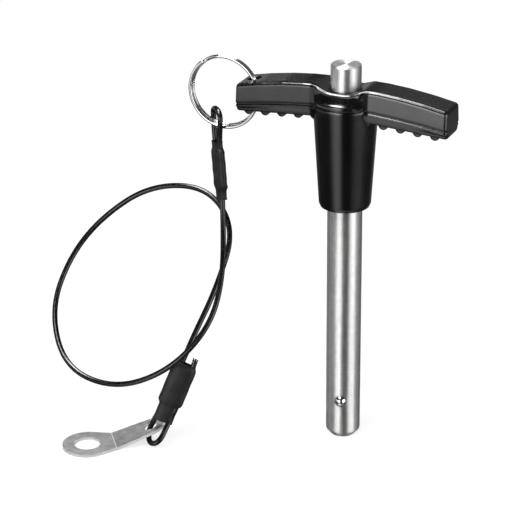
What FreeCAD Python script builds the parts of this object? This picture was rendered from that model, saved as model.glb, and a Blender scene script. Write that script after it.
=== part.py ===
import FreeCAD, Part
import math
import os

from FreeCAD import Vector as V

# T-handle ball-lock pin, 12.7 mm shank, with split ring, wire-rope lanyard and tab.
# Millimetres.  The origin is on the pin's axis, in the plane of the hub's lower face,
# where the grip's shoulder meets the bracket.  +Z points to the push button,
# X runs along the handle's arms (the ring hangs on the -X arm), -Y is the front.

os.makedirs("parts", exist_ok=True)


def save(shape, node):
    """Write one node's solid and print its size."""
    box = shape.BoundBox
    print("%-18s %-9s volume %9.1f  x %.1f..%.1f  y %.1f..%.1f  z %.1f..%.1f" % (
        node, "valid" if shape.isValid() else "INVALID", shape.Volume,
        box.XMin, box.XMax, box.YMin, box.YMax, box.ZMin, box.ZMax))
    shape.exportStep("parts/%s.step" % node)


def lines(points):
    """Straight edges through a list of points."""
    return [Part.makeLine(a, b) for a, b in zip(points, points[1:])]


def lathe(profile):
    """Solid of revolution about Z from (radius, z) corners, closed along the axis."""
    points = [V(r, 0, z) for r, z in profile]
    edges = lines(points + [points[0]])
    return Part.Face(Part.Wire(edges)).revolve(V(0, 0, 0), V(0, 0, 1), 360)


def polygon(centre, across, up, radius, sides):
    """Closed outline with the area of a circle, for wires that are too thin to need a round one."""
    step = 2 * math.pi / sides
    corner = radius * math.sqrt(step / math.sin(step))
    points = [centre + across * (corner * math.cos(step * i)) + up * (corner * math.sin(step * i))
              for i in range(sides)]
    return Part.Wire(lines(points + [points[0]]))


# ---------------------------------------------------------------- main sizes

SHANK_R = 6.35          # half-inch pin
NECK_R = 6.0            # the part of the shank that is held inside the handle
LEAD_R = 6.33           # the end that holds the balls is ground a little under size
GRIP_LENGTH = 72.0      # full-size length from the hub's face to the lead end
NOSE_Z = -91.6          # end of the shank
BALL_Z = -76.0          # balls' centre height
BALL_R = 2.25
BALL_OUT = 5.10         # balls' centre to the pin's axis when locked
BALL_TURN = 12.5        # degrees the front ball is turned from -Y towards +X
TRAVEL = 4.0            # push button's stroke
RETRACT = 1.0           # how far each ball moves in over that stroke

BUTTON_R = 5.5
BUTTON_TOP = 53.5
LEDGE_Z = 37.0          # ledge inside the handle that keeps the button in
FLANGE_Z = 35.2         # underside of the button's flange, where the spring pushes
FLANGE_R = 5.9
SHANK_TOP = 31.0        # inner end of the shank inside the handle
SPRING_SEAT = 14.0

ball_dir = V(math.sin(math.radians(BALL_TURN)), -math.cos(math.radians(BALL_TURN)), 0)


# ---------------------------------------------------------------- handle

ARM_HALF = 40.0         # half the handle's length
END_ROUND = 0.9         # the arms' ends are eased by this much all round
TOP_Y = 6.5             # half width of the arm near its top edge
SEAM_BULGE = 0.5        # how much wider it is at the seam groove
FOOT_TUCK = 0.3         # and how much narrower at its underside
TOP_ROUND = 1.3
FOOT_ROUND = 1.4
SEAM_HALF = 0.25        # half the seam groove's width
SEAM_LIP = 0.5          # the groove's edges are eased by this much
SEAM_DEPTH = 0.9
RIM_Y = 8.4             # front and back of the rim around the button
RIM_BOW_R = 60.0        # seen from above they are shallow arcs of this radius
DIP_Z = 44.57           # lowest point of the dip around the button
HUB_TOP_R = 11.72
HUB_FOOT_R = 9.45
HUB_SEAM = (38.95, 39.45)
SCOOP_LOW = 39.75       # a shallow hollow runs from the hub's wall here
SCOOP_HIGH = 43.4       # up to the rim's wall here
SCOOP_BEND = 0.2        # 0 would make it straight
RIDGE_R = 1.75          # finger ridges under the arms,
RIDGE_DROP = 1.1        # which stand this far out of the underside
EYELET = V(-35.0, 0, 0)  # vertical hole for the split ring
EYELET_R = 2.5


def ease(share):
    """Smooth step from 0 to 1."""
    share = min(max(share, 0.0), 1.0)
    return share * share * (3 - 2 * share)


def arm_top(x):
    """Height of the handle's upper face: drooping arms and a dip around the button."""
    d = abs(x) - 12.0
    if d >= 0:
        return 46.55 - 0.056 * d - 0.0031 * d * d
    return DIP_Z + (46.55 + 0.035 * d - DIP_Z) * ease((abs(x) - 2.6) / 7.4)


def arm_seam(x):
    """Height of the seam groove along the arm."""
    d = abs(x) - 12.0
    return 38.75 - 0.07 * d - 0.0018 * d * d


def arm_foot(x):
    """Height of the arm's underside between its finger ridges."""
    return 34.25 - 0.066 * (abs(x) - 12.0)


def arm_width(x):
    """Half width near the top: the rim's bow in the middle, then the straight arm."""
    bow = RIM_Y - TOP_Y - x * x / (2 * RIM_BOW_R)
    return TOP_Y + bow * (1 - ease((abs(x) - 7.4) / 3.4))


def quarter(centre, radius, from_angle, to_angle):
    """Arc in a plane across X, by its centre and the angles of its ends."""
    middle = (from_angle + to_angle) / 2
    ends = [centre + V(0, radius * math.cos(math.radians(a)), radius * math.sin(math.radians(a)))
            for a in (from_angle, middle, to_angle)]
    return Part.Arc(*ends).toShape()


def arm_section(x, inset=0.0):
    """Closed outline across the handle at one place along it."""
    seam = arm_seam(x)
    top = arm_top(x) - inset
    foot = arm_foot(x) + inset
    width = arm_width(x) - inset
    seam_y = width + SEAM_BULGE
    foot_y = width - FOOT_TUCK
    floor_y = foot_y - FOOT_ROUND
    roof_y = width - TOP_ROUND
    right = [
        V(x, width, top - TOP_ROUND),
        V(x, seam_y, seam + SEAM_HALF + SEAM_LIP),
        V(x, seam_y - SEAM_LIP, seam + SEAM_HALF),
        V(x, seam_y - SEAM_DEPTH, seam),
        V(x, seam_y - SEAM_LIP, seam - SEAM_HALF),
        V(x, seam_y, seam - SEAM_HALF - SEAM_LIP),
    ]
    for turn in (0.0, 22.5, 45.0, 67.5, 90.0):
        a = math.radians(turn)
        right.append(V(x, floor_y + FOOT_ROUND * math.cos(a), foot + FOOT_ROUND * (1 - math.sin(a))))
    left = [V(p.x, -p.y, p.z) for p in reversed(right)]
    edges = [quarter(V(x, roof_y, top - TOP_ROUND), TOP_ROUND, 90, 0)]
    edges += lines(right + left)
    edges.append(quarter(V(x, -roof_y, top - TOP_ROUND), TOP_ROUND, 180, 90))
    edges.append(Part.makeLine(V(x, -roof_y, top), V(x, roof_y, top)))
    return Part.Wire(edges)


def make_arms():
    """Both arms and the rim as one loft, close-set where the dip and the rim bend."""
    shoulder = ARM_HALF - END_ROUND
    half = [(x, 0.0) for x in (2.6, 4.4, 6.2, 8.0, 9.4, 11.0, 14.0, 22.0, 31.0, shoulder)]
    half.append((shoulder + 0.71 * END_ROUND, 0.29 * END_ROUND))
    half.append((ARM_HALF, END_ROUND))
    stations = [(-x, inset) for x, inset in reversed(half)] + [(0.0, 0.0)] + half
    return Part.makeLoft([arm_section(*station) for station in stations], True, True)


def make_hub():
    """Tapered round hub with an eased foot and the seam groove near its top."""
    low, high = HUB_SEAM
    return lathe([
        (0, 0), (7.85, 0), (8.95, 0.45), (HUB_FOOT_R, 1.65),
        (HUB_TOP_R, low - 0.2), (HUB_TOP_R - 0.2, low), (HUB_TOP_R - 0.7, low),
        (HUB_TOP_R - 0.7, high), (HUB_TOP_R - 0.2, high), (HUB_TOP_R, high + 0.2),
        (HUB_TOP_R, SCOOP_LOW), (0, SCOOP_LOW)])


def make_scoop(side):
    """The hub's wall above the seam, hollowed in a curve up to the rim's wall."""
    axis_y = side * (RIM_BOW_R - RIM_Y)
    base = SCOOP_LOW - 0.3

    def at(y, z):
        return V(0, -side * y, z)

    reach = HUB_TOP_R + 0.2
    inner = RIM_Y - 2.0
    points = [at(inner, base), at(reach, base)]
    for share in (1.0, 0.75, 0.5, 0.25, 0.0):
        fall = (1 + SCOOP_BEND) * share - SCOOP_BEND * share * share
        points.append(at(RIM_Y + (reach - RIM_Y) * share, SCOOP_HIGH - (SCOOP_HIGH - SCOOP_LOW) * fall))
    points += [at(RIM_Y - 1.0, SCOOP_HIGH - 0.8), at(inner, SCOOP_HIGH - 1.2), at(inner, base)]
    face = Part.Face(Part.Wire(lines(points)))
    face.rotate(V(0, axis_y, 0), V(0, 0, 1), -12)
    ring = face.revolve(V(0, axis_y, 0), V(0, 0, 1), 24)
    return ring.common(Part.makeCylinder(HUB_TOP_R, 10, V(0, 0, base - 1)))


def make_ridges():
    """Finger ridges across the underside of both arms."""
    ridges = []
    half = TOP_Y - FOOT_TUCK - 0.8
    for step in range(5):
        for side in (-1, 1):
            x = side * (35.3 - 6.38 * step)
            z = arm_foot(x) + RIDGE_R - RIDGE_DROP
            ridges.append(Part.makeCylinder(RIDGE_R, 2 * half, V(x, -half, z), V(0, 1, 0)))
    return ridges


def make_handle():
    """The moulded handle with its bores for shank and button and the ring's eyelet."""
    body = make_arms().fuse(make_hub())
    for side in (1, -1):
        body = body.fuse(make_scoop(side))
    for ridge in make_ridges():
        body = body.fuse(ridge)
    body = body.cut(Part.makeCylinder(NECK_R, LEDGE_Z + 1, V(0, 0, -1)))
    body = body.cut(Part.makeCylinder(SHANK_R + 0.25, 0.5, V(0, 0, 0)))
    body = body.cut(Part.makeCylinder(BUTTON_R + 0.05, 20, V(0, 0, LEDGE_Z)))
    body = body.cut(Part.makeCylinder(EYELET_R, 30, EYELET + V(0, 0, 25)))
    return body.Solids[0]


# ---------------------------------------------------------------- shank and lock

BORE_R = 2.95
BORE_END = -83.8
SPINDLE_END_R = 2.5     # the spindle's upper end is pressed into the button
SPINDLE_END_Z = 44.0


def make_shank():
    """Hollow pin with a bevelled nose and two staked ball windows."""
    body = lathe([(0, NOSE_Z), (4.1, NOSE_Z), (4.5, NOSE_Z + 0.15), (LEAD_R - 0.14, NOSE_Z + 2.15),
                  (LEAD_R, NOSE_Z + 2.65), (LEAD_R, -GRIP_LENGTH - 0.7), (SHANK_R, -GRIP_LENGTH),
                  (SHANK_R, 0), (NECK_R, 0), (NECK_R, SHANK_TOP), (0, SHANK_TOP)])
    bore = Part.makeCylinder(BORE_R, SPRING_SEAT - BORE_END, V(0, 0, BORE_END))
    spring_room = Part.makeCylinder(4.6, SHANK_TOP - SPRING_SEAT + 1, V(0, 0, SPRING_SEAT))
    body = body.cut(bore).cut(spring_room)
    skin = Part.makeCylinder(SHANK_R + 1, 8, V(0, 0, BALL_Z - 4)).cut(
        Part.makeCylinder(SHANK_R - 0.13, 8, V(0, 0, BALL_Z - 4)))
    for side in (1, -1):
        out = ball_dir * side
        centre = V(0, 0, BALL_Z)
        window = Part.makeCylinder(BALL_R + 0.03, 5.6, centre, out)
        lip = Part.makeCone(BALL_R + 0.03, 1.93, 0.75, centre + out * 5.6, out)
        mouth = Part.makeCylinder(1.93, 1.0, centre + out * 6.3, out)
        stake = Part.makeCylinder(BALL_R + 0.05, 3, centre + out * 5, out).common(skin)
        for tool in (window, lip, mouth, stake):
            body = body.cut(tool)
    return body.Solids[0]


def make_spindle():
    """Inner rod: a land that holds the balls out, a ramp and a groove that let them in."""
    half_angle = math.atan(RETRACT / TRAVEL)
    land = 2.83
    groove = land - RETRACT
    rod = 2.2
    ramp_low = BALL_Z - BALL_R * math.tan(half_angle / 2)
    ramp_high = ramp_low + TRAVEL
    return lathe([
        (0, -79.4), (land, -79.4), (land, ramp_low), (groove, ramp_high), (groove, -69.0),
        (land, -68.0), (land, -58.0), (rod, -58.0), (rod, 9.0), (land, 9.0), (land, 13.0),
        (SPINDLE_END_R, 13.0), (SPINDLE_END_R, SPINDLE_END_Z), (0, SPINDLE_END_Z)])


def make_button():
    """Push button with a retaining flange, bored to take the spindle's end."""
    body = lathe([(0, FLANGE_Z), (FLANGE_R, FLANGE_Z), (FLANGE_R, LEDGE_Z - 0.05),
                  (BUTTON_R, LEDGE_Z - 0.05), (BUTTON_R, BUTTON_TOP - 0.4),
                  (BUTTON_R - 0.4, BUTTON_TOP), (0, BUTTON_TOP)])
    return body.cut(Part.makeCylinder(SPINDLE_END_R, SPINDLE_END_Z - FLANGE_Z, V(0, 0, FLANGE_Z)))


def make_spring():
    """Coil spring between the shank's seat and the button."""
    wire_r = 0.5
    coil_r = 3.75
    low = SPRING_SEAT + wire_r
    high = FLANGE_Z - wire_r
    turns = 6
    per_turn = 10
    sections = []
    for step in range(turns * per_turn + 1):
        turn = step / per_turn
        angle = 2 * math.pi * turn
        outward = V(math.cos(angle), math.sin(angle), 0)
        centre = outward * coil_r + V(0, 0, low + (high - low) * turn / turns)
        sections.append(polygon(centre, outward, V(0, 0, 1), wire_r, 6))
    return Part.makeLoft(sections, True, True)


# ---------------------------------------------------------------- split ring

RING_C = V(-47.2, 0, 37.0)
RING_R = 13.2           # centreline radius, about 28 mm over the wire
RING_WIRE_R = 0.72


def make_split_ring():
    """Two flat turns of round wire with one step across between them."""
    start, step_from, step_to, end = 128, 330, 360, 690
    layer = 0.74
    spacing = 10            # degrees between sections on the flat turns
    sections = []
    angle = 0
    while angle <= end:
        share = min(max((angle - step_from) / (step_to - step_from), 0), 1)
        y = -layer * math.cos(math.pi * share)
        a = math.radians(start + angle)
        outward = V(math.cos(a), 0, math.sin(a))
        sections.append(polygon(RING_C + outward * RING_R + V(0, y, 0), outward, V(0, 1, 0), RING_WIRE_R, 8))
        stepping = step_from <= angle < step_to
        angle += 5 if stepping else spacing
    return Part.makeLoft(sections, True, True)


# ---------------------------------------------------------------- lanyard

CABLE_R = 1.03

# The cable's route.  It starts at the cut end in the upper sleeve, goes round the upper
# eye, hangs down in one wide loop, runs into the lower sleeve, round the lower eye and
# ends just outside that sleeve.
UPPER_EYE = [
    V(-49.0, -1.5, -4.1),
    V(-53.7, 3.5, 27.0),
    V(-52.2, 1.8, 29.6),
    V(-48.8, -1.8, 29.8),
    V(-47.25, -3.6, 27.2),
    V(-49.0, -1.5, 17.0),
]
LOOP = [
    V(-46.1, -4.6, -9.0),
    V(-40.5, -18.0, -30.1),
    V(-41.4, -29.5, -44.6),
    V(-54.4, -37.5, -60.5),
    V(-75.9, -39.0, -70.9),
    V(-99.8, -33.0, -69.3),
    V(-112.5, -19.0, -53.7),
    V(-111.2, -5.0, -37.0),
    V(-101.6, 4.0, -22.4),
    V(-83.1, 9.5, -8.3),
    V(-58.6, 8.5, -4.7),
    V(-44.4, 2.0, -17.2),
    V(-46.0, -12.5, -36.2),
    V(-50.9, -21.5, -51.7),
]
LOWER_EYE = [
    V(-53.0, -27.5, -60.6),
    V(-58.6, -33.0, -76.5),
    V(-61.45, -34.25, -82.15),
    V(-64.7, -33.7, -88.5),
    V(-61.6, -39.3, -90.8),
    V(-57.3, -39.3, -89.2),
    V(-56.2, -33.9, -83.3),
    V(-53.2, -31.4, -76.4),
    V(-48.4, -26.4, -60.2),
]
ROUTE = UPPER_EYE + LOOP + LOWER_EYE


def corner_radius(before, corner, after):
    """Bend radius that leaves a tenth of the shorter run straight."""
    leg_in = corner - before
    leg_out = after - corner
    turn = leg_in.getAngle(leg_out)
    return 0.45 * min(leg_in.Length, leg_out.Length) / math.tan(turn / 2)


def route_wire(points):
    """Straight runs joined by tangent arcs."""
    edges = []
    here = points[0]
    for before, corner, after in zip(points, points[1:], points[2:]):
        arm_in = (before - corner).normalize()
        arm_out = (after - corner).normalize()
        turn = (corner - before).getAngle(after - corner)
        radius = corner_radius(before, corner, after)
        reach = radius * math.tan(turn / 2)
        first = corner + arm_in * reach
        last = corner + arm_out * reach
        middle_dir = (arm_in + arm_out).normalize()
        middle = corner + middle_dir * (radius / math.cos(turn / 2) - radius)
        edges.append(Part.LineSegment(here, first).toShape())
        edges.append(Part.Arc(first, middle, last).toShape())
        here = last
    edges.append(Part.LineSegment(here, points[-1]).toShape())
    return Part.Wire(edges)


def make_cable():
    """Sweep the cable's section along its route and print what came out."""
    path = route_wire(ROUTE)
    across = (ROUTE[1] - ROUTE[0]).cross(V(0, 1, 0)).normalize()
    up = (ROUTE[1] - ROUTE[0]).cross(across).normalize()
    tube = path.makePipeShell([polygon(ROUTE[0], across, up, CABLE_R, 6)], True, False)
    radii = [corner_radius(*three) for three in zip(ROUTE, ROUTE[1:], ROUTE[2:])]
    print("cable radii", [round(r, 1) for r in radii])
    print("cable length %.1f, volume %.1f, section x length %.1f" % (
        path.Length, tube.Volume, math.pi * CABLE_R ** 2 * path.Length))
    return tube


def stadium(centre, along, wide, width, thick):
    """Outline with two flat sides and two ends of three chords each, square to 'along'."""
    across = along.cross(wide).normalize()
    half = (width - thick) / 2
    r = thick / 2
    points = []
    for turn in (-90, -30, 30, 90):
        a = math.radians(turn)
        points.append(centre + wide * (half + r * math.cos(a)) + across * (r * math.sin(a)))
    points += [centre * 2 - p for p in points]
    return Part.Wire(lines(points + [points[0]]))


class Sleeve:
    """Crimped ferrule under a shrink sleeve; distances run from the eye end."""

    def __init__(self, eye_end, standing_end, wide_hint):
        self.origin = eye_end
        self.along = (standing_end - eye_end).normalize()
        lean = wide_hint.dot(self.along)
        self.wide = (wide_hint - self.along * lean).normalize()

    def stack(self, stages):
        """Solid through flat outlines given as (distance, width, thickness)."""
        wires = [stadium(self.origin + self.along * s, self.along, self.wide, w, t) for s, w, t in stages]
        return Part.makeLoft(wires, True, True)

    def ferrule(self, start, length, cable):
        """Crimped block with the cable's two runs through it."""
        end = start + length
        block = self.stack([(start, 8.2, 2.75), (start + 0.5, 8.6, 2.95),
                            (end - 0.5, 8.6, 2.95), (end, 8.2, 2.75)])
        return block.cut(cable)

    def shrink(self, stages, cable):
        """Thin sleeve, open at both ends, over the ferrule and both runs."""
        wall = 0.3
        inner = [(s, w - 2 * wall, t - 2 * wall) for s, w, t in stages]
        inner[0] = (inner[0][0] - 1.0, inner[0][1], inner[0][2])
        inner[-1] = (inner[-1][0] + 1.0, inner[-1][1], inner[-1][2])
        skin = self.stack(stages).cut(self.stack(inner)).cut(cable)
        return max(skin.Solids, key=lambda solid: solid.Volume)


# ---------------------------------------------------------------- tab

TAB_THICK = 1.0
TAB_HOLE = V(-82.86, -48.18, NOSE_Z)   # centre of the large hole, on the tab's underside
TAB_AIM = 37.0          # degrees the tab points from +X towards +Y
TAB_BEND = 17.5         # degrees the narrow half is bent up
TAB_BEND_AT = 10.0      # from the large hole to the bend
TAB_SPAN = 24.5         # from the large hole to the small one
TAB_BIG_R = 9.3
TAB_SMALL_R = 5.2
TAB_WAIST = 6.2         # half width at the bend
BIG_HOLE_R = 4.8
SMALL_HOLE_R = 2.5


def tab_half(outline, eye_x, eye_r, hole_r):
    """Flat plate from an outline joined to a round end, with its hole."""
    corners = [V(x, y, 0) for x, y in outline]
    plate = Part.Face(Part.Wire(lines(corners + [corners[0]]))).extrude(V(0, 0, TAB_THICK))
    end = Part.makeCylinder(eye_r, TAB_THICK, V(eye_x, 0, 0))
    hole = Part.makeCylinder(hole_r, TAB_THICK + 2, V(eye_x, 0, -1))
    return plate.fuse(end).cut(hole)


def touch(radius, centre_x, way):
    """Point where a line from the waist touches a round end; way is +1 or -1."""
    dx = TAB_BEND_AT - centre_x
    reach = math.hypot(dx, TAB_WAIST)
    angle = math.atan2(TAB_WAIST, dx) + way * math.acos(radius / reach)
    return centre_x + radius * math.cos(angle), radius * math.sin(angle)


def make_tab():
    """Stamped tab: wide round end with the large hole, narrow end bent up."""
    bx, by = touch(TAB_BIG_R, 0.0, 1)
    sx, sy = touch(TAB_SMALL_R, TAB_SPAN, -1)
    at, waist = TAB_BEND_AT, TAB_WAIST
    flat = tab_half([(0, by), (bx, by), (at, waist), (at, -waist), (bx, -by), (0, -by)],
                    0.0, TAB_BIG_R, BIG_HOLE_R)
    raised = tab_half([(at, waist), (sx, sy), (sx, -sy), (at, -waist)],
                      TAB_SPAN, TAB_SMALL_R, SMALL_HOLE_R)
    hinge = V(at, 0, TAB_THICK)
    raised.rotate(hinge, V(0, 1, 0), -TAB_BEND)
    corners = [V(at, -waist, 0), V(at, waist, 0), V(at, waist, TAB_THICK), V(at, -waist, TAB_THICK)]
    face = Part.Face(Part.Wire(lines(corners + [corners[0]])))
    knee = face.revolve(hinge, V(0, 1, 0), -TAB_BEND)
    body = flat.fuse([raised, knee]).removeSplitter()
    body.rotate(V(0, 0, 0), V(0, 0, 1), TAB_AIM)
    body.translate(TAB_HOLE)
    return body.Solids[0]


# ---------------------------------------------------------------- build every node

save(make_handle(), "handle")
save(make_shank(), "shank")
save(make_spindle(), "spindle")
save(make_button(), "push_button")
save(make_spring(), "return_spring")
for name, side in (("ball_front", 1), ("ball_rear", -1)):
    centre = V(0, 0, BALL_Z) + ball_dir * (side * BALL_OUT)
    save(Part.makeSphere(BALL_R, centre), name)
save(make_split_ring(), "split_ring")

cable = make_cable()
save(cable, "lanyard_cable")

upper = Sleeve(V(-50.5, 0, 17.4), V(-47.4, -3.1, -4.2), V(0.707, -0.707, 0))
lower = Sleeve(V(-58.48, -34.3, -82.71), V(-51.52, -27.5, -61.14), V(0.904, 0.237, -0.355))

save(upper.ferrule(3.6, 13.0, cable), "upper_ferrule")
save(lower.ferrule(8.0, 14.5, cable), "lower_ferrule")
save(upper.shrink([(0, 7.2, 3.1), (2.8, 7.2, 3.1), (3.4, 9.4, 3.7), (16.8, 9.4, 3.7),
                   (18.0, 7.2, 3.1), (21.6, 6.4, 3.1)], cable), "upper_sleeve")
save(lower.shrink([(0, 7.6, 3.1), (6.6, 7.2, 3.1), (7.4, 9.4, 3.7), (22.6, 9.4, 3.7),
                   (23.8, 7.4, 3.1)], cable), "lower_sleeve")
save(make_tab(), "mounting_tab")
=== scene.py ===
import math
import random

import bpy
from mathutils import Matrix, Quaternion, Vector


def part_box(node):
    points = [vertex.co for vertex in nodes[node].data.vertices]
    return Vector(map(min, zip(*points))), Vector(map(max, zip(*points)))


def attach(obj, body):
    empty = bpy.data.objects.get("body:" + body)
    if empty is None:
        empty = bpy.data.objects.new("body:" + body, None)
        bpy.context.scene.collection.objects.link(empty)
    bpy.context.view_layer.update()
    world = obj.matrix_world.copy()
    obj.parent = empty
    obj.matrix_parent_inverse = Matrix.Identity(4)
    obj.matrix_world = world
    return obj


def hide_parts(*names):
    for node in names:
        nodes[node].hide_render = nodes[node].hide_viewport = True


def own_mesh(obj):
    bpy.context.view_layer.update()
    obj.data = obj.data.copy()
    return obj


# A T-handle ball-lock pin with its split ring, wire-rope lanyard and tab.
# Metres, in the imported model's frame: +Z along the pin to the push button, X along the
# handle's arms, -Y the front.  The pin stands on its nose and the tab lies beside it.

MM = 0.001

for spare in ("Cube", "Light", "Camera"):
    if spare in bpy.data.objects:
        bpy.data.objects.remove(bpy.data.objects[spare])

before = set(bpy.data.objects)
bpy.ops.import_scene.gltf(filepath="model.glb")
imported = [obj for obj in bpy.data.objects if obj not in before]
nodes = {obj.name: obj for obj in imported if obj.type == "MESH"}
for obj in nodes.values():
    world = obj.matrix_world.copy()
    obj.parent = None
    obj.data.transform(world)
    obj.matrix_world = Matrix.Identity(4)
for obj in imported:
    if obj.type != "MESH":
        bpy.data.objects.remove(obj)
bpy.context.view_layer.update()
floor_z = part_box("shank")[0].z


# ---------------------------------------------------------------- node helpers

class Shader:
    """A material's node tree with short calls for the few nodes used here."""

    def __init__(self, tree):
        self.tree = tree
        tree.nodes.clear()

    def node(self, kind, **settings):
        made = self.tree.nodes.new(kind)
        for name, value in settings.items():
            setattr(made, name, value)
        return made

    def join(self, source, target):
        self.tree.links.new(source, target)

    def feed(self, target, value):
        """Give a socket a link or a plain value."""
        if isinstance(value, bpy.types.NodeSocket):
            self.join(value, target)
        else:
            target.default_value = value

    def math(self, operation, first, second=0.0, third=0.0, clamp=False):
        made = self.node("ShaderNodeMath", operation=operation, use_clamp=clamp)
        for socket, value in zip(made.inputs, (first, second, third)):
            self.feed(socket, value)
        return made.outputs[0]

    def place(self):
        """The object's own coordinates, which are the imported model's, in metres."""
        return self.node("ShaderNodeTexCoord").outputs["Object"]

    def scaled(self, vector, x, y, z):
        """The vector stretched along each axis."""
        made = self.node("ShaderNodeVectorMath", operation="MULTIPLY")
        self.feed(made.inputs[0], vector)
        made.inputs[1].default_value = (x, y, z)
        return made.outputs[0]

    def noise(self, vector, scale, detail=3.0, roughness=0.55):
        made = self.node("ShaderNodeTexNoise")
        self.feed(made.inputs["Vector"], vector)
        made.inputs["Scale"].default_value = scale
        made.inputs["Detail"].default_value = detail
        made.inputs["Roughness"].default_value = roughness
        return made.outputs["Fac"]

    def ramp(self, factor, stops, interpolation="LINEAR"):
        """Colour ramp from (place, grey or colour) stops."""
        made = self.node("ShaderNodeValToRGB")
        band = made.color_ramp
        band.interpolation = interpolation
        while len(band.elements) < len(stops):
            band.elements.new(0.5)
        for element, (place, colour) in zip(band.elements, stops):
            element.position = place
            grey = isinstance(colour, (int, float))
            element.color = (colour, colour, colour, 1) if grey else (*colour, 1)
        self.feed(made.inputs["Fac"], factor)
        return made.outputs["Color"]

    def spread(self, factor, low, high, from_low=0.3, from_high=0.7):
        """Map a factor to a range of values."""
        made = self.node("ShaderNodeMapRange")
        self.feed(made.inputs["Value"], factor)
        made.inputs["From Min"].default_value = from_low
        made.inputs["From Max"].default_value = from_high
        made.inputs["To Min"].default_value = low
        made.inputs["To Max"].default_value = high
        return made.outputs["Result"]

    def bump(self, height, depth, strength=1.0, under=None):
        """Normal for a height pattern this deep, on top of the normal under it."""
        made = self.node("ShaderNodeBump")
        made.inputs["Strength"].default_value = strength
        made.inputs["Distance"].default_value = depth
        self.feed(made.inputs["Height"], height)
        if under is not None:
            self.join(under, made.inputs["Normal"])
        return made.outputs["Normal"]

    def window(self, value, low, high, soft):
        """1 while value is between low and high, fading over soft at both ends."""
        rise = self.spread(value, 0.0, 1.0, low, low + soft)
        fall = self.spread(value, 1.0, 0.0, high - soft, high)
        return self.math("MULTIPLY", rise, fall)

    def parts(self, vector):
        """The vector's X, Y and Z."""
        made = self.node("ShaderNodeSeparateXYZ")
        self.join(vector, made.inputs[0])
        return [made.outputs[k] for k in "XYZ"]

    def vector(self, x, y, z):
        """A vector from three links or values."""
        made = self.node("ShaderNodeCombineXYZ")
        for socket, value in zip(made.inputs, (x, y, z)):
            self.feed(socket, value)
        return made.outputs[0]

    def unit(self, vector):
        """The vector at length 1."""
        made = self.node("ShaderNodeVectorMath", operation="NORMALIZE")
        self.join(vector, made.inputs[0])
        return made.outputs[0]

    def edge_wear_and_highlight(self, radius, samples=4):
        """0 on open faces and up to about 0.3 on sharp edges, where a small bevel turns the normal."""
        round_normal = self.node("ShaderNodeBevel", samples=samples)
        round_normal.inputs["Radius"].default_value = radius
        plain = self.node("ShaderNodeNewGeometry").outputs["Normal"]
        dot = self.node("ShaderNodeVectorMath", operation="DOT_PRODUCT")
        self.join(round_normal.outputs["Normal"], dot.inputs[0])
        self.join(plain, dot.inputs[1])
        return self.math("SUBTRACT", 1.0, dot.outputs["Value"], clamp=True)

    def surface(self, **inputs):
        """Principled surface to the output; names use _ for spaces."""
        made = self.node("ShaderNodeBsdfPrincipled")
        for name, value in inputs.items():
            self.feed(made.inputs[name.replace("_", " ")], value)
        out = self.node("ShaderNodeOutputMaterial")
        self.join(made.outputs["BSDF"], out.inputs["Surface"])
        return made


def material(name, build):
    """A new material whose nodes are made by build."""
    made = bpy.data.materials.new(name)
    made.use_nodes = True
    build(Shader(made.node_tree))
    return made


def dress(obj, finish):
    """Make finish the object's only material."""
    obj.data.materials.clear()
    obj.data.materials.append(finish)


# ---------------------------------------------------------------- materials

# The hollow under the rim around the button: height in millimetres and how far its wall leans
# back there, as the tangent.
HOLLOW_LEAN = [(39.7, 0.05), (40.4, 0.12), (40.8, 0.75), (41.1, 1.20), (41.5, 0.80), (42.2, 0.62),
               (43.4, 0.56), (45.2, 0.52)]
HOLLOW_FROM, HOLLOW_TO = 39.7, 45.2
HOLLOW_FADE = 0.1 * MM
HOLLOW_ENDS = (5 * MM, 8 * MM)      # between these distances along X, at both its ends,
END_LEAN = 0.6                      # the wall comes to lean back at least this much
RIM_Y, RIM_BOW_R, HUB_R = 8.4 * MM, 60.0 * MM, 11.72 * MM
RIM_FADE = 0.04 * MM
WALL_BAND = 0.12 * MM               # this near HUB_R a point is on the hub's own wall
ARM_CLEARANCE = 0.5 * MM            # and further outside it than this, on an arm
EDGE_ROUND = 0.95 * MM
ARM_TAPER = 0.045                   # the arms' sides close in towards their ends,
ARM_ROOT = 10 * MM                  # fully from this distance outwards
HUB_DRAFT = 0.035                   # the hub's wall draws in towards its foot,
DRAFT_FADE = (36 * MM, 39 * MM)     # fully below the first height and not above the second


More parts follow.
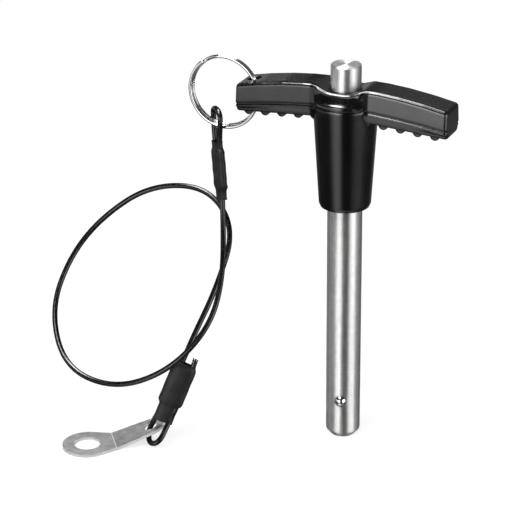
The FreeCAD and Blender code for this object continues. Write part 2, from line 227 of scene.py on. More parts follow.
def handle_normal(s, place):
    """Soft moulded edges, the arms' slight taper and the round hollow at the hub's top."""
    rounded = s.node("ShaderNodeBevel", samples=8)
    rounded.inputs["Radius"].default_value = EDGE_ROUND
    x, y, z = s.parts(place)
    nx, ny, nz = s.parts(rounded.outputs["Normal"])
    taper = s.spread(x, -ARM_TAPER, ARM_TAPER, -ARM_ROOT, ARM_ROOT)
    draft = s.spread(z, HUB_DRAFT, 0.0, *DRAFT_FADE)
    body = s.unit(s.vector(s.math("ADD", nx, taper), ny, s.math("SUBTRACT", nz, draft)))
    share = s.spread(z, 0.0, 1.0, HOLLOW_FROM * MM, HOLLOW_TO * MM)
    span = HOLLOW_TO - HOLLOW_FROM
    lean = s.ramp(share, [((h - HOLLOW_FROM) / span, t / 2) for h, t in HOLLOW_LEAN], "EASE")
    radius = s.math("SQRT", s.math("ADD", s.math("MULTIPLY", x, x), s.math("MULTIPLY", y, y)))
    end_lean = s.spread(s.math("ABSOLUTE", x), 0.0, END_LEAN, *HOLLOW_ENDS)
    steep = s.math("MAXIMUM", s.math("MULTIPLY", lean, 2.0), end_lean)
    hollow = s.unit(s.vector(x, y, s.math("MULTIPLY", steep, radius)))
    bow = s.math("MULTIPLY", s.math("MULTIPLY", x, x), 0.5 / RIM_BOW_R)
    past_rim = s.math("SUBTRACT", s.math("ADD", s.math("ABSOLUTE", y), bow), RIM_Y)
    hub_wall = s.window(radius, HUB_R - WALL_BAND, HUB_R + WALL_BAND, RIM_FADE)
    beyond = s.math("MAXIMUM", s.spread(past_rim, 0.0, 1.0, -RIM_FADE, 0.0), hub_wall)
    at_height = s.window(z, HOLLOW_FROM * MM + HOLLOW_FADE / 2, HOLLOW_TO * MM, HOLLOW_FADE)
    inside = s.math("MULTIPLY", beyond, at_height)
    inside = s.math("MULTIPLY", inside, s.math("LESS_THAN", radius, HUB_R + ARM_CLEARANCE))
    mix = s.node("ShaderNodeMix", data_type="VECTOR")
    s.join(inside, mix.inputs["Factor"])
    s.join(body, mix.inputs["A"])
    s.join(hollow, mix.inputs["B"])
    return mix.outputs["Result"]


def handle_plastic(s):
    """Black glass-filled nylon: satin skin, fine moulding grain, faint flow marks, soft edges."""
    place = s.place()
    grain = s.noise(place, 5200.0, detail=2.0)
    flow = s.noise(s.scaled(place, 1.0, 1.0, 0.45), 160.0, detail=4.0)
    specks = s.noise(place, 1500.0, detail=4.0, roughness=0.7)
    colour = s.ramp(flow, [(0.35, (0.0014, 0.0014, 0.0015)), (0.70, (0.0026, 0.0026, 0.0028))])
    gloss = s.math("ADD", s.spread(flow, 0.15, 0.21), s.spread(grain, -0.02, 0.02))
    grainy = s.bump(grain, 0.000008, 0.45, handle_normal(s, place))
    rough = s.bump(specks, 0.000012, 0.40, grainy)
    s.surface(Base_Color=colour, Roughness=gloss, Normal=rough, Specular_IOR_Level=0.85)


BALL_SPOT = (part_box("ball_front")[0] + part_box("ball_front")[1]) / 2
BUTTON_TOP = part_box("push_button")[1].z
# Painted shade: a dark ring between these distances round each ball window, where the staked groove is.
STAKE_INNER, STAKE_OUTER, STAKE_FADE = 1.70 * MM, 2.35 * MM, 0.2 * MM
TOP_FADE = (BUTTON_TOP - 0.3 * MM, BUTTON_TOP - 0.1 * MM)
SIDE_METAL, TOP_METAL = 0.90, 0.62


def window_rim_shade(s, x, y, z):
    """1 on the staked rims of the two ball windows, where the steel is darkened with painted shade."""
    out = Vector((BALL_SPOT.x, BALL_SPOT.y)).normalized()
    across = s.math("SUBTRACT", s.math("MULTIPLY", x, out.y), s.math("MULTIPLY", y, out.x))
    up = s.math("SUBTRACT", z, BALL_SPOT.z)
    off = s.math("SQRT", s.math("ADD", s.math("MULTIPLY", across, across), s.math("MULTIPLY", up, up)))
    return s.window(off, STAKE_INNER, STAKE_OUTER, STAKE_FADE)


def turned_steel(base, low, high, stretch, staked):
    """Build a shader for steel turned about Z; staked paints shade onto the rims round the ball windows.
    """
    def build(s):
        place = s.place()
        x, y, z = s.parts(place)
        radius = s.node("ShaderNodeVectorMath", operation="LENGTH")
        s.join(s.scaled(place, 1, 1, 0), radius.inputs[0])
        along = s.vector(s.math("ADD", z, radius.outputs["Value"]), 0.0, 0.0)
        lathe = s.noise(along, 9000.0, detail=5.0, roughness=0.7)
        lines = s.noise(along, 1900.0, detail=3.0, roughness=0.8)
        cloud = s.noise(place, 230.0, detail=5.0, roughness=0.62)
        mottle = s.noise(s.scaled(place, 1.0, 1.0, 0.35), 900.0, detail=4.0, roughness=0.65)
        streaks = s.noise(s.scaled(place, 1.0, 1.0, 0.012), 1100.0, detail=4.0, roughness=0.7)
        worn = s.math("ADD", s.math("MULTIPLY", cloud, 0.4), s.math("MULTIPLY", mottle, 0.6))
        tone = s.ramp(worn, [(0.34, [c * 0.80 for c in base]), (0.66, base)])
        shade = s.math("MULTIPLY", s.spread(streaks, 0.76, 1.10), s.spread(lines, 0.88, 1.06))
        if staked:
            # Painted shade darkens the steel on the staked rims round the ball windows.
            shade = s.math("MULTIPLY", shade, s.spread(window_rim_shade(s, x, y, z), 1.0, 0.18, 0.0, 1.0))
        colour = s.node("ShaderNodeVectorMath", operation="SCALE")
        s.join(tone, colour.inputs[0])
        s.join(shade, colour.inputs["Scale"])
        gloss = s.math("ADD", s.spread(worn, low, high), s.spread(lathe, -0.03, 0.03))
        metal = s.spread(z, SIDE_METAL, TOP_METAL, *TOP_FADE)
        tangent = s.node("ShaderNodeTangent", direction_type="RADIAL", axis="Z")
        s.surface(Base_Color=colour.outputs[0], Metallic=metal, Roughness=gloss,
                  Normal=s.bump(lathe, 0.0000035, 0.5),
                  Anisotropic=stretch, Anisotropic_Rotation=0.25, Tangent=tangent.outputs[0])
    return build


def polished_steel(s):
    """Hardened balls: bright chrome steel with the finest haze."""
    haze = s.noise(s.place(), 900.0, detail=4.0)
    s.surface(Base_Color=s.ramp(haze, [(0.3, 0.72), (0.7, 0.80)]), Metallic=1.0,
              Roughness=s.spread(haze, 0.06, 0.12))


def ring_wire(s):
    """Nickel-plated spring wire, drawn, with light handling marks."""
    place = s.place()
    marks = s.noise(place, 260.0, detail=5.0, roughness=0.6)
    colour = s.ramp(marks, [(0.3, (0.72, 0.715, 0.71)), (0.7, (0.82, 0.82, 0.815))])
    s.surface(Base_Color=colour, Metallic=0.95, Roughness=s.spread(marks, 0.07, 0.12),
              Normal=s.bump(marks, 0.000002, 0.3))


def spring_wire(s):
    """Drawn spring wire, darker and oily."""
    marks = s.noise(s.place(), 1200.0, detail=4.0)
    s.surface(Base_Color=s.ramp(marks, [(0.3, 0.33), (0.7, 0.45)]), Metallic=1.0,
              Roughness=s.spread(marks, 0.22, 0.36))


# The tab's bend crosses it at this distance from the large hole, along the way the tab points.
TAB_HOLE = (-82.86 * MM, -48.18 * MM)
TAB_AIM = math.radians(37.0)
TAB_BEND_AT = 10.0 * MM
# The bend line carries a painted highlight this wide on each side, fading over CREASE_FADE.
CREASE_HALF = 0.24 * MM
CREASE_FADE = 0.7 * CREASE_HALF
# Painted shade: the half past the bend is coloured this much darker.
RAISED_SHADE = 0.82                 # the half past the bend is this much darker
TAB_EDGE_ROUND = 0.3 * MM
SHEARED_BELOW, FACE_ABOVE = 0.60, 0.75      # how straight up or down a face looks, 0 to 1
# Colour of the bare steel and the painted highlight on the tab's edges, sides and bend line.
TAB_BRIGHT = (0.86, 0.86, 0.855, 1)


def tab_bend(s, x, y):
    """The painted highlight along the bend line, and the painted shade that makes the half past it darker.
    """
    from_hole_x = s.math("MULTIPLY", s.math("SUBTRACT", x, TAB_HOLE[0]), math.cos(TAB_AIM))
    from_hole_y = s.math("MULTIPLY", s.math("SUBTRACT", y, TAB_HOLE[1]), math.sin(TAB_AIM))
    along = s.math("ADD", from_hole_x, from_hole_y)
    crease_highlight = s.window(along, TAB_BEND_AT - CREASE_HALF, TAB_BEND_AT + CREASE_HALF, CREASE_FADE)
    raised_half_shade = s.spread(along, 1.0, RAISED_SHADE, TAB_BEND_AT, TAB_BEND_AT + CREASE_HALF)
    return crease_highlight, raised_half_shade


def tab_steel(s):
    """Tumbled stamped steel: dull grey rolled faces, rubbed and sheared edges of bare steel brightened
    with painted highlight, a painted highlight along the bend and painted shade past it.
    """
    place = s.place()
    rolled = s.noise(s.scaled(place, 0.42, 1.0, 1.0), 900.0, detail=6.0, roughness=0.72)
    pits = s.noise(place, 2600.0, detail=4.0, roughness=0.7)
    patches = s.noise(place, 240.0, detail=3.0, roughness=0.6)
    mixed = s.math("ADD", s.math("MULTIPLY", rolled, 0.45), s.math("MULTIPLY", pits, 0.35))
    mixed = s.math("ADD", mixed, s.math("MULTIPLY", patches, 0.20))

    x, y, _ = s.parts(place)
    crease_highlight, raised_half_shade = tab_bend(s, x, y)
    _, _, upright = s.parts(s.node("ShaderNodeTexCoord").outputs["Normal"])
    sheared = s.spread(s.math("ABSOLUTE", upright), 1.0, 0.0, SHEARED_BELOW, FACE_ABOVE)
    # Rubbed edges and sheared sides are bare steel lifted further with painted highlight; the bend line is
    # painted highlight only.
    worn = s.edge_wear_and_highlight(TAB_EDGE_ROUND)
    bright = s.math("MAXIMUM", s.math("MULTIPLY", worn, 3.0, clamp=True),
                    s.math("MULTIPLY", crease_highlight, 0.45))
    bright = s.math("MAXIMUM", bright, s.math("MULTIPLY", sheared, 0.95))

    face = s.ramp(mixed, [(0.36, (0.12, 0.12, 0.119)), (0.62, (0.33, 0.33, 0.327))])
    darker = s.node("ShaderNodeVectorMath", operation="SCALE")
    s.join(face, darker.inputs[0])
    s.join(raised_half_shade, darker.inputs["Scale"])
    mix = s.node("ShaderNodeMix", data_type="RGBA")
    s.join(bright, mix.inputs["Factor"])
    s.join(darker.outputs[0], mix.inputs["A"])
    mix.inputs["B"].default_value = TAB_BRIGHT
    rough = s.math("SUBTRACT", s.spread(mixed, 0.50, 0.62), s.math("MULTIPLY", worn, 0.25))
    bumps = s.bump(pits, 0.000020, 0.5, s.bump(rolled, 0.000015, 0.5))
    metal = s.math("SUBTRACT", 0.7, s.math("MULTIPLY", sheared, 0.55))
    s.surface(Base_Color=mix.outputs["Result"], Metallic=metal, Roughness=rough, Normal=bumps)


def cable_coating(s):
    """Black vinyl over the rope: glossy, following the strands."""
    place = s.place()
    smear = s.noise(place, 420.0, detail=3.0)
    fine = s.noise(place, 4000.0, detail=2.0)
    s.surface(Base_Color=s.ramp(smear, [(0.3, (0.0028, 0.0028, 0.0030)), (0.7, (0.0055, 0.0055, 0.0058))]),
              Roughness=s.spread(smear, 0.17, 0.27), Normal=s.bump(fine, 0.000006, 0.3),
              Specular_IOR_Level=0.5)


def shrink_sleeve(s):
    """Black shrink tube: matt and slightly wrinkled."""
    place = s.place()
    wrinkle = s.noise(s.scaled(place, 1.0, 1.0, 1.6), 420.0, detail=4.0)
    skin = s.noise(place, 3200.0, detail=3.0)
    colour = s.ramp(wrinkle, [(0.3, (0.0045, 0.0045, 0.0048)), (0.7, (0.0080, 0.0080, 0.0084))])
    soft = s.bump(wrinkle, 0.00009, 0.35)
    s.surface(Base_Color=colour, Roughness=s.spread(wrinkle, 0.44, 0.56),
              Normal=s.bump(skin, 0.000012, 0.5, soft), Specular_IOR_Level=0.38)


def ferrule_aluminium(s):
    """Pressed aluminium with die marks."""
    marks = s.noise(s.place(), 1400.0, detail=4.0)
    s.surface(Base_Color=s.ramp(marks, [(0.3, 0.58), (0.7, 0.72)]), Metallic=1.0,
              Roughness=s.spread(marks, 0.25, 0.42), Normal=s.bump(marks, 0.00001, 0.5))


def strand_wire(s):
    """The rope's strands where it is cut: wires dark with the coating left on them."""
    marks = s.noise(s.place(), 3000.0, detail=3.0)
    s.surface(Base_Color=s.ramp(marks, [(0.3, 0.006), (0.7, 0.03)]), Roughness=s.spread(marks, 0.3, 0.5),
              Normal=s.bump(marks, 0.00004, 0.6))


HANDLE = material("handle_plastic", handle_plastic)
PIN = material("pin_steel", turned_steel((0.80, 0.795, 0.79), 0.33, 0.41, 0.88, True))
BUTTON = material("button_steel", turned_steel((0.84, 0.835, 0.83), 0.38, 0.46, 0.86, False))
BALL = material("ball_steel", polished_steel)
RING = material("ring_steel", ring_wire)
SPRING = material("spring_steel", spring_wire)
TAB = material("tab_steel", tab_steel)
COATING = material("cable_coating", cable_coating)
SLEEVE = material("shrink_sleeve", shrink_sleeve)
FERRULE = material("ferrule_aluminium", ferrule_aluminium)
WIRE = material("strand_wire", strand_wire)

FINISHES = {"handle": HANDLE, "shank": PIN, "spindle": PIN, "push_button": BUTTON,
            "return_spring": SPRING, "ball_front": BALL, "ball_rear": BALL, "mounting_tab": TAB,
            "upper_ferrule": FERRULE, "lower_ferrule": FERRULE}
for node, finish in FINISHES.items():
    dress(nodes[node], finish)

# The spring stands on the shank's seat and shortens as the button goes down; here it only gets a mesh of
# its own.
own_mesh(nodes["return_spring"])


# ---------------------------------------------------------------- the lanyard's rope

ROPE_R = 1.03 * MM
STRANDS = 6
LAY_LENGTH = 7.5 * MM
RELIEF = 0.04 * MM      # depth of the grooves between the strands
ROPE_STEP = 0.5 * MM
ROPE_SIDES = 48

# The route is the CAD cable's, in millimetres: upper eye, wide loop, lower eye.
UPPER_EYE = [(-49.0, -1.5, -4.1), (-53.7, 3.5, 27.0), (-52.2, 1.8, 29.6), (-48.8, -1.8, 29.8),
             (-47.25, -3.6, 27.2), (-49.0, -1.5, 17.0)]
LOOP = [(-46.1, -4.6, -9.0), (-40.5, -18.0, -30.1), (-41.4, -29.5, -44.6), (-54.4, -37.5, -60.5),
        (-75.9, -39.0, -70.9), (-99.8, -33.0, -69.3), (-112.5, -19.0, -53.7),
        (-111.2, -5.0, -37.0), (-101.6, 4.0, -22.4), (-83.1, 9.5, -8.3), (-58.6, 8.5, -4.7),
        (-44.4, 2.0, -17.2), (-46.0, -12.5, -36.2), (-50.9, -21.5, -51.7)]
LOWER_EYE = [(-53.0, -27.5, -60.6), (-58.6, -33.0, -76.5), (-61.45, -34.25, -82.15),
             (-64.7, -33.7, -88.5), (-61.6, -39.3, -90.8), (-57.3, -39.3, -89.2),
             (-56.2, -33.9, -83.3), (-53.2, -31.4, -76.4), (-48.4, -26.4, -60.2)]


def smooth_line(points_mm, name):
    """Points along a NURBS spline that has these control points."""
    curve = bpy.data.curves.new(name, "CURVE")
    curve.dimensions = "3D"
    curve.resolution_u = 24
    spline = curve.splines.new("NURBS")
    spline.points.add(len(points_mm) - 1)
    for point, (x, y, z) in zip(spline.points, points_mm):
        point.co = (x * MM, y * MM, z * MM, 1)
    spline.order_u = 3
    spline.use_endpoint_u = True
    holder = bpy.data.objects.new(name, curve)
    bpy.context.scene.collection.objects.link(holder)
    mesh = bpy.data.meshes.new_from_object(holder)
    points = [v.co.copy() for v in mesh.vertices]
    bpy.data.objects.remove(holder)
    bpy.data.meshes.remove(mesh)
    return points


def even_points(points, step):
    """The same line with evenly spaced points."""
    reach = [0.0]
    for a, b in zip(points, points[1:]):
        reach.append(reach[-1] + (b - a).length)
    count = max(2, round(reach[-1] / step))
    out = []
    span = 0
    for i in range(count + 1):
        goal = reach[-1] * i / count
        while span < len(points) - 2 and reach[span + 1] < goal:
            span += 1
        share = (goal - reach[span]) / max(reach[span + 1] - reach[span], 1e-12)
        out.append(points[span].lerp(points[span + 1], min(share, 1.0)))
    return out


def frames_along(points):
    """Unit tangent and a side vector that doesn't twist, at every point."""
    tangents = []
    for i in range(len(points)):
        a = points[max(i - 1, 0)]
        b = points[min(i + 1, len(points) - 1)]
        tangents.append((b - a).normalized())
    side = tangents[0].orthogonal().normalized()
    out = []
    for i, tangent in enumerate(tangents):
        if i:
            side = tangents[i - 1].rotation_difference(tangent) @ side
            side = (side - tangent * side.dot(tangent)).normalized()
        out.append((tangent, side))
    return out


def mesh_object(name, verts, faces, smooth=True):
    """A new object from corners and faces."""
    mesh = bpy.data.meshes.new(name)
    mesh.from_pydata([tuple(v) for v in verts], [], faces)
    mesh.validate()
    for polygon in mesh.polygons:
        polygon.use_smooth = smooth
    obj = bpy.data.objects.new(name, mesh)
    bpy.context.scene.collection.objects.link(obj)
    return obj


def tube(name, points, radius_at, sides):
    """Closed tube along points; radius_at(distance, angle) shapes its section."""
    verts = []
    faces = []
    distance = 0.0
    for i, (tangent, side) in enumerate(frames_along(points)):
        if i:
            distance += (points[i] - points[i - 1]).length
        other = tangent.cross(side)
        for k in range(sides):
            angle = 2 * math.pi * k / sides
            r = radius_at(distance, angle)
            verts.append(points[i] + side * (r * math.cos(angle)) + other * (r * math.sin(angle)))
        if i:
            low = (i - 1) * sides
            high = i * sides
            for k in range(sides):
                n = (k + 1) % sides
                faces.append((low + k, low + n, high + n, high + k))
    faces.append(tuple(reversed(range(sides))))
    faces.append(tuple(range(len(verts) - sides, len(verts))))
    return mesh_object(name, verts, faces)


def rope_radius(distance, angle):
    """Coating that sinks a little into the rope's helical grooves."""
    turn = 2 * math.pi * distance / LAY_LENGTH
    groove = abs(math.sin((angle - turn) * STRANDS / 2))
    return ROPE_R - RELIEF * (1 - groove) ** 2


rope_line = even_points(smooth_line(UPPER_EYE + LOOP + LOWER_EYE, "lanyard_route"), ROPE_STEP)
rope = tube("lanyard_rope", rope_line, rope_radius, ROPE_SIDES)
dress(rope, COATING)
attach(rope, "lanyard")
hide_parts("lanyard_cable")


STRAND_BURIED = 0.6 * MM        # each strand starts this far inside the rope
STRAND_OFFSET = 0.60 * MM       # and this far from its middle
STRAND_SIDES = 10


def cut_strands(tip, along):
    """The rope's cut end: its strands stand a little apart, each at its own angle."""
    dice = random.Random(11)
    side = along.orthogonal().normalized()
    other = along.cross(side)
    verts = []
    faces = []
    for k in range(STRANDS + 1):
        spot = 2 * math.pi * k / STRANDS
        out = (side * math.cos(spot) + other * math.sin(spot)) * (0.0 if k == STRANDS else 1.0)
        length = dice.uniform(0.5, 1.5) * MM
        lean = out * dice.uniform(0.10, 0.50) + other * dice.uniform(-0.15, 0.15)
        thick = dice.uniform(0.24, 0.32) * MM
        foot = tip - along * STRAND_BURIED + out * STRAND_OFFSET
        line = [foot + (along + lean * t) * (t * (length + STRAND_BURIED))
                for t in (0.0, 0.25, 0.5, 0.75, 1.0)]
        piece = tube("strand", line, lambda distance, angle, r=thick: r, STRAND_SIDES)
        start = len(verts)
        verts += [v.co.copy() for v in piece.data.vertices]
        faces += [[start + i for i in polygon.vertices] for polygon in piece.data.polygons]
        bpy.data.objects.remove(piece)
    return mesh_object("cut_strands", verts, faces)


fray = cut_strands(rope_line[-1], (rope_line[-1] - rope_line[-4]).normalized())
dress(fray, WIRE)
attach(fray, "lanyard")


# ---------------------------------------------------------------- shrink sleeves

# Sizes along and across the shrink sleeves, in millimetres.
SLEEVE_WALL = 0.35
SLEEVE_SIDES = 84
SLEEVE_STEP = 0.35
SHOULDER = 0.55                     # the shoulders are eased over this length
LIP_OUT, LIP_LONG = 0.16, 0.6       # the open mouths flare a little
WRINKLE = 0.022
END_FADE = 3.0                      # the pinched seam fades out over this length at both ends
SEAM_WIDE, SEAM_GROOVE_AT = 0.14, 0.36      # radians round the sleeve
SEAM_GROOVE_DEPTH = 0.35            # share of the seam's height
LUMP_LONG, LUMP_WIDE = 0.8, 0.30    # length, and radians round the sleeve
FLAT_WIDE, FLAT_THIN = 0.80, 0.92   # powers that square the oval section a little


def stage_at(stages, distance):
    """Width and thickness at one place, straight between the stages."""
    if distance <= stages[0][0]:
        return stages[0][1:]
    for (s0, w0, t0), (s1, w1, t1) in zip(stages, stages[1:]):
        if distance <= s1:
            share = (distance - s0) / (s1 - s0)
            return w0 + (w1 - w0) * share, t0 + (t1 - t0) * share
    return stages[-1][1:]


def sleeve(name, eye_end, standing_end, wide_hint, stages, replaced, seed, fin=0.0, lumps=()):
    """Shrunk tube over a crimp: flat oval sections, soft shoulders, open mouths, small wrinkles.

    stages are (distance, width, thickness) in millimetres, from the eye's end, fin is the height
    of the pinched seam along one side, and lumps are (distance, angle, height).
    """
    dice = random.Random(seed)
    origin = Vector(eye_end) * MM
    along = (Vector(standing_end) - Vector(eye_end)).normalized()
    wide = Vector(wide_hint)
    wide = (wide - along * wide.dot(along)).normalized()
    thin = along.cross(wide)
    length = stages[-1][0]
    rings = 2 * round(length / SLEEVE_STEP)
    waves = [(dice.uniform(0.5, 1.6), dice.uniform(0, 6.3), dice.choice((1, 2, 3)), dice.uniform(0, 6.3))
             for _ in range(7)]

    def puff(distance, angle):
        """How far the skin stands out from the plain oval."""
        to_end = min(distance, length - distance)
        out = LIP_OUT * max(0.0, 1 - to_end / LIP_LONG) ** 2
        out += WRINKLE * sum(math.sin(f * distance + p) * math.sin(n * angle + q)
                             for f, p, n, q in waves)
        seam = (angle - math.pi) / SEAM_WIDE
        beside = (abs(angle - math.pi) - SEAM_GROOVE_AT) / SEAM_WIDE
        pinch = math.exp(-seam * seam) - SEAM_GROOVE_DEPTH * math.exp(-beside * beside)
        out += fin * min(1.0, to_end / END_FADE) * pinch
        for spot, turn, rise in lumps:
            away = ((distance - spot) / LUMP_LONG) ** 2 + ((angle - turn) / LUMP_WIDE) ** 2
            out += rise * math.exp(-away)
        return out

    def ring(distance, shrink):
        """One section; shrink moves it inwards, for the inner wall."""
        near = [stage_at(stages, distance + SHOULDER * k / 2) for k in (-2, -1, 0, 1, 2)]
        half_w = sum(w for w, t in near) / len(near) / 2
        half_t = sum(t for w, t in near) / len(near) / 2
        points = []
        for k in range(SLEEVE_SIDES):
            a = 2 * math.pi * k / SLEEVE_SIDES
            c, d = math.cos(a), math.sin(a)
            out = puff(distance, a) - shrink
            u = math.copysign(abs(c) ** FLAT_WIDE, c) * (half_w + out)
            v = math.copysign(abs(d) ** FLAT_THIN, d) * (half_t + out)
            points.append(origin + (along * distance + wide * u + thin * v) * MM)
        return points

    verts = []
    for i in range(rings + 1):
        verts += ring(length * i / rings, 0.0)
    for i in range(rings, -1, -1):
        verts += ring(length * i / rings, SLEEVE_WALL)
    loops = len(verts) // SLEEVE_SIDES
    faces = []
    for i in range(loops):
        low, high = i * SLEEVE_SIDES, ((i + 1) % loops) * SLEEVE_SIDES
        for k in range(SLEEVE_SIDES):
            n = (k + 1) % SLEEVE_SIDES
            faces.append((low + k, low + n, high + n, high + k))
    made = mesh_object(name, verts, faces)
    dress(made, SLEEVE)
    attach(made, "lanyard")
    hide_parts(replaced)
    return made


upper_skin = sleeve("upper_shrink_tube", (-50.5, 0, 17.4), (-47.4, -3.1, -4.2), (0.707, -0.707, 0),
                    [(0, 7.2, 3.1), (2.6, 7.2, 3.1), (3.6, 9.4, 3.8), (16.6, 9.2, 3.8),
                     (18.2, 7.2, 3.1), (21.6, 6.6, 3.2)],
                    replaced="upper_sleeve", seed=3, fin=0.45,
                    lumps=[(17.2, 5.2, 0.35), (17.6, 4.3, 0.30), (16.9, 6.1, 0.30), (19.4, 4.8, 0.20)])
lower_skin = sleeve("lower_shrink_tube", (-58.48, -34.3, -82.71), (-51.52, -27.5, -61.14),
                    (0.904, 0.237, -0.355),
                    [(0, 7.6, 3.1), (6.4, 7.2, 3.1), (7.6, 9.4, 3.8), (22.2, 9.4, 3.8),
                     (23.8, 7.4, 3.1)],
                    replaced="lower_sleeve", seed=8)


# ---------------------------------------------------------------- split ring

RING_CENTRE = Vector((-47.2, 0, 37.0)) * MM
RING_R = 13.2 * MM
RING_WIRE_R = 0.66 * MM
RING_LAYER = 0.76 * MM      # each turn lies this far to the front or back of the middle
RING_SPLAY = 0.16 * MM      # and has a radius this much over or under RING_R
RING_WIRE_SIDES = 28
# Degrees: where the wire starts, where it crosses to the other turn, and how long it is.
RING_START, RING_STEP_FROM, RING_STEP_TO, RING_END = 128, 330, 360, 690
END_EASE = 0.25             # the wire's cut ends lose this share of the radius
END_EASE_LONG = 0.25 * MM
END_STEPS = (0.3, 0.7, 1.1) # extra sections this many degrees in from each end


def ring_point(angle):
    """Centre of the wire at an angle in degrees along the ring's two turns."""
    share = min(max((angle - RING_STEP_FROM) / (RING_STEP_TO - RING_STEP_FROM), 0), 1)
    a = math.radians(RING_START + angle)
    side = math.cos(math.pi * share)
    r = RING_R + RING_SPLAY * side
    return RING_CENTRE + Vector((r * math.cos(a), -RING_LAYER * side, r * math.sin(a)))


def ring_radius(distance, angle):
    """Round wire whose cut ends are eased."""
    length = math.radians(RING_END) * RING_R
    left = min(distance, length - distance)
    return RING_WIRE_R * (1 - END_EASE * max(0.0, 1 - left / END_EASE_LONG) ** 2)


ring_steps = [0.0, *END_STEPS] + list(range(2, RING_END - 1, 2))
ring_steps += [RING_END - step for step in reversed((0, *END_STEPS))]
coil = tube("ring_coil", [ring_point(step) for step in ring_steps], ring_radius, RING_WIRE_SIDES)
dress(coil, RING)
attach(coil, "ring")
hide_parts("split_ring")


# ---------------------------------------------------------------- camera

VIEW_AZIMUTH = 24.1     # degrees from -Y towards +X; the studio is set up for this side too
VIEW_ELEVATION = 23.24
VIEW_ROLL = -0.41
VIEW_DISTANCE = 0.8303
VIEW_TARGET = Vector((-0.0352, 0.0, -0.0258))
LENS = 157.57


def toward(azimuth, elevation):
    """Unit vector out from the object, from degrees."""
    a = math.radians(azimuth)
    e = math.radians(elevation)
    return Vector((math.sin(a) * math.cos(e), -math.cos(a) * math.cos(e), math.sin(e)))


def build_camera():
    """Long lens, a little above the pin, right of straight on."""
    data = bpy.data.cameras.new("camera")
    data.lens = LENS
    data.sensor_width = 36.0
    data.clip_start = 0.01
    data.clip_end = 20.0
    camera = bpy.data.objects.new("camera", data)
    bpy.context.scene.collection.objects.link(camera)
    back = toward(VIEW_AZIMUTH, VIEW_ELEVATION)
    camera.location = VIEW_TARGET + back * VIEW_DISTANCE
    roll = Quaternion(back, math.radians(VIEW_ROLL))
    camera.rotation_mode = "QUATERNION"
    camera.rotation_quaternion = roll @ (-back).to_track_quat("-Z", "Y")
    bpy.context.scene.camera = camera


build_camera()


# ---------------------------------------------------------------- light

MATT_LEVEL = 0.62       # the world's light on matt surfaces
BACKDROP = 1.0          # white behind the object
FLOOR_HALF = 3.0
FLOOR_GLOW = 0.74       # lifts the floor to white in the camera's view
LAMP_TARGET = Vector((-0.03, 0, 0))

# What glossy surfaces mirror.  Azimuths are degrees to the right of the camera and heights are
# the sine of the elevation.  ROOM is the plain room, and each soft box has its strength and
# how it fades across and up.
ROOM = [(-180, 0.07), (-150, 0.05), (-130, 0.04), (-86, 0.05), (-66, 0.10), (-30, 0.10), (-10, 0.05),
        (14, 0.05), (32, 0.07), (95, 0.05), (120, 0.05), (145, 0.20), (165, 0.28), (180, 0.10)]
BOXES = [
    # left box, brightest at eye level
    (7.0, [(-66, 0), (-52, 0.5), (-42, 1), (-30, 1), (-10, 0)],
     [(-0.72, 0.02), (-0.60, 0.10), (-0.50, 0.20), (-0.40, 0.22), (-0.16, 0.25), (0.0, 1.0),
      (0.14, 1.0), (0.26, 0.35), (0.38, 0.0)]),
    # right box, whose lower edge ends just under the pin's own mirror line
    (4.8, [(16, 0), (50, 1), (62, 1), (78, 0.25), (98, 0)],
     [(-0.55, 0.04), (-0.46, 0.07), (-0.41, 0.35), (-0.30, 0.6), (-0.10, 1.0), (0.30, 1.0), (0.50, 0.0)]),
    # pale walls either side, seen above the table's edge
    (0.9, [(-150, 0.5), (-100, 1), (-70, 1), (-50, 0), (60, 0), (80, 0.9), (104, 0.9), (126, 0)],
     [(-0.44, 0.0), (-0.36, 0.3), (-0.14, 1.0), (0.10, 1.0), (0.22, 0.0)]),
    # strip overhead, behind the left shoulder
    (26.0, [(-180, 0.8), (-150, 1), (-60, 1), (-10, 0), (130, 0), (180, 0.8)],
     [(0.82, 0.0), (0.87, 1.0), (0.965, 1.0), (0.99, 0.0)]),
    # the lit table in front
    (1.2, [(-90, 0), (-66, 1), (-30, 1), (20, 0.2), (70, 0.2), (110, 0)],
     [(-0.98, 0.3), (-0.92, 1.0), (-0.84, 1.0), (-0.70, 0.0)]),
]


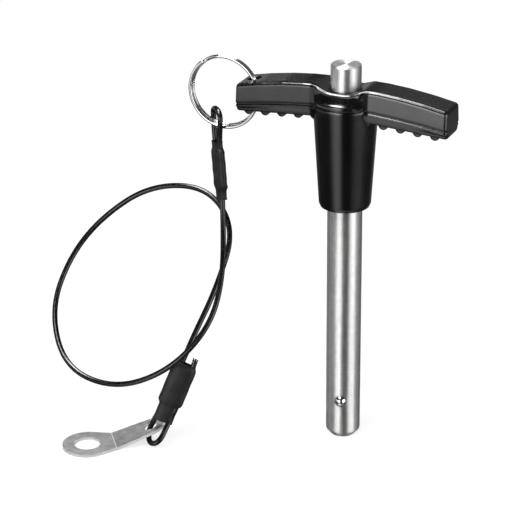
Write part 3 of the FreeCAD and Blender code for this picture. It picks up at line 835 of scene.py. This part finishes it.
def build_world():
    """Plain studio: even light on matt surfaces, soft boxes and an overhead strip in glossy ones."""
    world = bpy.data.worlds.new("studio")
    bpy.context.scene.world = world
    world.use_nodes = True
    s = Shader(world.node_tree)
    way = s.node("ShaderNodeTexCoord").outputs["Generated"]
    x, y, z = s.parts(way)
    turned = math.radians(VIEW_AZIMUTH)
    right = s.math("ADD", s.math("MULTIPLY", x, math.cos(turned)),
                   s.math("MULTIPLY", y, math.sin(turned)))
    front = s.math("SUBTRACT", s.math("MULTIPLY", x, math.sin(turned)),
                   s.math("MULTIPLY", y, math.cos(turned)))
    azimuth = s.math("ARCTAN2", right, front)
    share = s.math("MULTIPLY_ADD", azimuth, 1 / (2 * math.pi), 0.5)
    height = s.math("MULTIPLY_ADD", z, 0.5, 0.5)

    def around(stops):
        return s.ramp(share, [((a + 180) / 360, level) for a, level in stops], "EASE")

    def upward(stops):
        return s.ramp(height, [((h + 1) / 2, level) for h, level in stops], "EASE")

    level = around(ROOM)
    for strength, across, up in BOXES:
        box = s.math("MULTIPLY", around(across), upward(up))
        level = s.math("MULTIPLY_ADD", box, strength, level)
    rays = s.node("ShaderNodeLightPath")
    shiny = s.node("ShaderNodeMix", data_type="FLOAT")
    s.join(rays.outputs["Is Glossy Ray"], shiny.inputs["Factor"])
    shiny.inputs["A"].default_value = MATT_LEVEL
    s.join(level, shiny.inputs["B"])
    seen = s.node("ShaderNodeMix", data_type="FLOAT")
    clear = s.math("MAXIMUM", rays.outputs["Is Camera Ray"], rays.outputs["Is Transmission Ray"])
    s.join(clear, seen.inputs["Factor"])
    s.join(shiny.outputs[0], seen.inputs["A"])
    seen.inputs["B"].default_value = BACKDROP
    back = s.node("ShaderNodeBackground")
    s.join(seen.outputs[0], back.inputs["Strength"])
    out = s.node("ShaderNodeOutputWorld")
    s.join(back.outputs[0], out.inputs["Surface"])
    world.cycles.sampling_method = "NONE"


def build_lamp(name, azimuth, elevation, distance, size, power):
    """Square soft lamp aimed at the pin, placed by degrees from the camera's side.

    It lights surfaces but isn't mirrored itself.
    """
    data = bpy.data.lights.new(name, "AREA")
    data.shape = "SQUARE"
    data.size = size
    data.energy = power
    lamp = bpy.data.objects.new(name, data)
    bpy.context.scene.collection.objects.link(lamp)
    back = toward(azimuth + VIEW_AZIMUTH, elevation)
    lamp.location = LAMP_TARGET + back * distance
    lamp.rotation_mode = "QUATERNION"
    lamp.rotation_quaternion = (-back).to_track_quat("-Z", "Y")
    lamp.visible_glossy = False
    lamp.visible_camera = False


def build_floor():
    """Pale floor that reads white but keeps the object's soft shadow."""
    corners = [(-FLOOR_HALF, -FLOOR_HALF, floor_z), (FLOOR_HALF, -FLOOR_HALF, floor_z),
               (FLOOR_HALF, FLOOR_HALF, floor_z), (-FLOOR_HALF, FLOOR_HALF, floor_z)]
    floor = mesh_object("floor", corners, [(0, 1, 2, 3)], smooth=False)

    def build(s):
        rays = s.node("ShaderNodeLightPath")
        matt = s.node("ShaderNodeBsdfDiffuse")
        fibres = s.noise(s.place(), 300.0, detail=3.0)
        s.join(s.ramp(fibres, [(0.3, 0.34), (0.7, 0.36)]), matt.inputs["Color"])
        glow = s.node("ShaderNodeEmission")
        s.join(s.math("MULTIPLY", rays.outputs["Is Camera Ray"], FLOOR_GLOW), glow.inputs["Strength"])
        both = s.node("ShaderNodeAddShader")
        s.join(matt.outputs[0], both.inputs[0])
        s.join(glow.outputs[0], both.inputs[1])
        out = s.node("ShaderNodeOutputMaterial")
        s.join(both.outputs[0], out.inputs["Surface"])

    dress(floor, material("pale_floor", build))
    floor.visible_glossy = False


build_world()
build_lamp("key", azimuth=-40.0, elevation=48.0, distance=1.1, size=0.9, power=7.0)
build_lamp("fill", azimuth=60.0, elevation=40.0, distance=1.3, size=1.1, power=4.0)
build_floor()

bpy.context.scene.view_settings.view_transform = "Standard"
